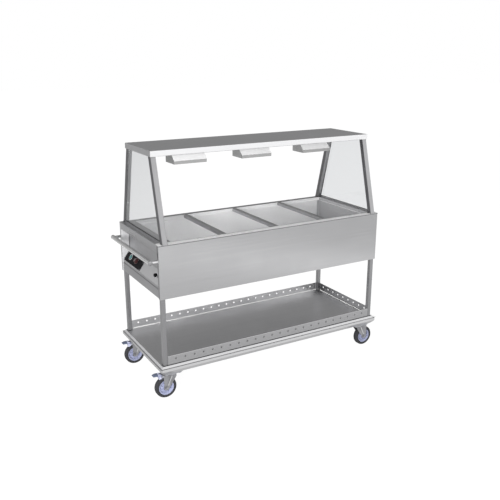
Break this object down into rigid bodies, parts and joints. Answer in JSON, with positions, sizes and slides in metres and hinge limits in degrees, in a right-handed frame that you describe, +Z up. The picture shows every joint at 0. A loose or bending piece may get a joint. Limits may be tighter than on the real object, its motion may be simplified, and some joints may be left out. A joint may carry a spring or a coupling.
{
  "type": "mobile bain marie",
  "caption": "Mobile stainless steel bain marie with an open pan well, heated gantry shelf with lamps, glass ends, lower shelf and swivel castors",
  "frame": {"origin": "on the floor below the middle of the bounding box, so 12.5 mm nearer the handle end than the body's middle", "axes": "+X runs along the length from the control end with the handle (-X) to the plain end (+X), -Y is the serving front, +Z is up"},
  "size_m": [1.554, 0.624, 1.374],
  "materials": {
    "stainless_sheet": "fine brushed satin",
    "polished_steel": "polished",
    "reflector_metal": "bright rolled",
    "zinc_plated_steel": "bright zinc",
    "fork_steel": "pressed and passivated",
    "element_sheath": "heat-darkened",
    "valve_brass": "plated, satin",
    "black_plastic": "fine matt",
    "knob_plastic": "moulded, glossy",
    "lit_switch": "translucent, lit from behind",
    "lever_enamel": "dipped vinyl",
    "end_glass": "clear toughened, polished edges",
    "quartz_tube": "frosted quartz",
    "lamp_ceramic": "unglazed",
    "core_plastic": "moulded nylon",
    "tyre_rubber": "matt, moulded",
    "pedal_plastic": "moulded, satin"
  },
  "bodies": {
    "trolley": {"base_tray": "stainless_sheet", "castor_channels": "stainless_sheet", "guard_front": "stainless_sheet", "guard_rear": "stainless_sheet", "guard_right": "stainless_sheet", "leg_front_left": "stainless_sheet", "leg_front_right": "stainless_sheet", "leg_rear_left": "stainless_sheet", "leg_rear_right": "stainless_sheet", "front_panel": "stainless_sheet", "rear_panel": "stainless_sheet", "console_plate": "stainless_sheet", "right_end_panel": "stainless_sheet", "top_deck": "stainless_sheet", "well_tank": "stainless_sheet", "bottom_cover": "stainless_sheet", "heating_elements": "element_sheath", "drain_valve": "valve_brass", "thermostat": "black_plastic", "switch_housing": "black_plastic", "control_panel": "black_plastic", "switch_bezel": "polished_steel", "cable_gland": "black_plastic", "push_handle": "polished_steel", "handle_brackets": "polished_steel", "post_front_left": "stainless_sheet", "post_front_right": "stainless_sheet", "post_rear_left": "stainless_sheet", "post_rear_right": "stainless_sheet", "gantry_shelf": "stainless_sheet", "lamp_brackets": "stainless_sheet", "glass_left": "end_glass", "glass_right": "end_glass", "glazing_channels": "stainless_sheet", "lamp_housings": "stainless_sheet", "lamp_reflectors": "reflector_metal", "lamp_tubes": "quartz_tube", "lamp_holders": "lamp_ceramic", "castor_plates": "zinc_plated_steel", "castor_bolts": "zinc_plated_steel"},
    "bar_left": {"crossbar_left": "stainless_sheet"},
    "bar_middle": {"crossbar_middle": "stainless_sheet"},
    "bar_right": {"crossbar_right": "stainless_sheet"},
    "knob": {"thermostat_knob": "knob_plastic"},
    "rocker": {"power_rocker": "lit_switch"},
    "lever": {"drain_lever": "lever_enamel"},
    "swivel_front_left": {"fork_front_left": "fork_steel"},
    "wheel_front_left": {"core_front_left": "core_plastic", "tyre_front_left": "tyre_rubber"},
    "swivel_front_right": {"fork_front_right": "fork_steel"},
    "wheel_front_right": {"core_front_right": "core_plastic", "tyre_front_right": "tyre_rubber"},
    "swivel_rear_left": {"fork_rear_left": "fork_steel"},
    "wheel_rear_left": {"core_rear_left": "core_plastic", "tyre_rear_left": "tyre_rubber"},
    "swivel_rear_right": {"fork_rear_right": "fork_steel"},
    "wheel_rear_right": {"core_rear_right": "core_plastic", "tyre_rear_right": "tyre_rubber"},
    "pedal_front_left": {"brake_front_left": "pedal_plastic"},
    "pedal_rear_left": {"brake_rear_left": "pedal_plastic"}
  },
  "joints": [
    {"name": "castor_swivel_front_left", "type": "hinge", "parent": "trolley", "child": "swivel_front_left", "pos_m": [-0.6515, -0.245, 0.14], "axis": [0, 0, 1], "continuous": true},
    {"name": "wheel_spin_front_left", "type": "hinge", "parent": "swivel_front_left", "child": "wheel_front_left", "pos_m": [-0.6895, -0.245, 0.0625], "axis": [0, 1, 0], "continuous": true},
    {"name": "castor_swivel_front_right", "type": "hinge", "parent": "trolley", "child": "swivel_front_right", "pos_m": [0.6765, -0.245, 0.14], "axis": [0, 0, 1], "continuous": true},
    {"name": "wheel_spin_front_right", "type": "hinge", "parent": "swivel_front_right", "child": "wheel_front_right", "pos_m": [0.7145, -0.245, 0.0625], "axis": [0, 1, 0], "continuous": true},
    {"name": "castor_swivel_rear_left", "type": "hinge", "parent": "trolley", "child": "swivel_rear_left", "pos_m": [-0.6515, 0.245, 0.14], "axis": [0, 0, 1], "continuous": true},
    {"name": "wheel_spin_rear_left", "type": "hinge", "parent": "swivel_rear_left", "child": "wheel_rear_left", "pos_m": [-0.6895, 0.245, 0.0625], "axis": [0, 1, 0], "continuous": true},
    {"name": "castor_swivel_rear_right", "type": "hinge", "parent": "trolley", "child": "swivel_rear_right", "pos_m": [0.6765, 0.245, 0.14], "axis": [0, 0, 1], "continuous": true},
    {"name": "wheel_spin_rear_right", "type": "hinge", "parent": "swivel_rear_right", "child": "wheel_rear_right", "pos_m": [0.7145, 0.245, 0.0625], "axis": [0, 1, 0], "continuous": true},
    {"name": "brake_pedal_front_left", "type": "hinge", "parent": "swivel_front_left", "child": "pedal_front_left", "pos_m": [-0.7115, -0.245, 0.136], "axis": [0, -1, 0], "range_deg": [0, 9]},
    {"name": "brake_pedal_rear_left", "type": "hinge", "parent": "swivel_rear_left", "child": "pedal_rear_left", "pos_m": [-0.7115, 0.245, 0.136], "axis": [0, -1, 0], "range_deg": [0, 9]},
    {"name": "thermostat_turn", "type": "hinge", "parent": "trolley", "child": "knob", "pos_m": [-0.69131, 0.11, 0.70036], "axis": [0.8128, 0, -0.5825], "range_deg": [0, 270]},
    {"name": "power_switch", "type": "hinge", "parent": "trolley", "child": "rocker", "pos_m": [-0.69456, 0.195, 0.70269], "axis": [0, 1, 0], "range_deg": [-8, 8]},
    {"name": "drain_turn", "type": "hinge", "parent": "trolley", "child": "lever", "pos_m": [0.6455, -0.036, 0.562], "axis": [0, -1, 0], "range_deg": [0, 90]},
    {"name": "crossbar_lift_left", "type": "slide", "parent": "trolley", "child": "bar_left", "axis": [0, 0, 1], "range_m": [0, 0.12]},
    {"name": "crossbar_lift_middle", "type": "slide", "parent": "trolley", "child": "bar_middle", "axis": [0, 0, 1], "range_m": [0, 0.12]},
    {"name": "crossbar_lift_right", "type": "slide", "parent": "trolley", "child": "bar_right", "axis": [0, 0, 1], "range_m": [0, 0.12]}
  ]
}
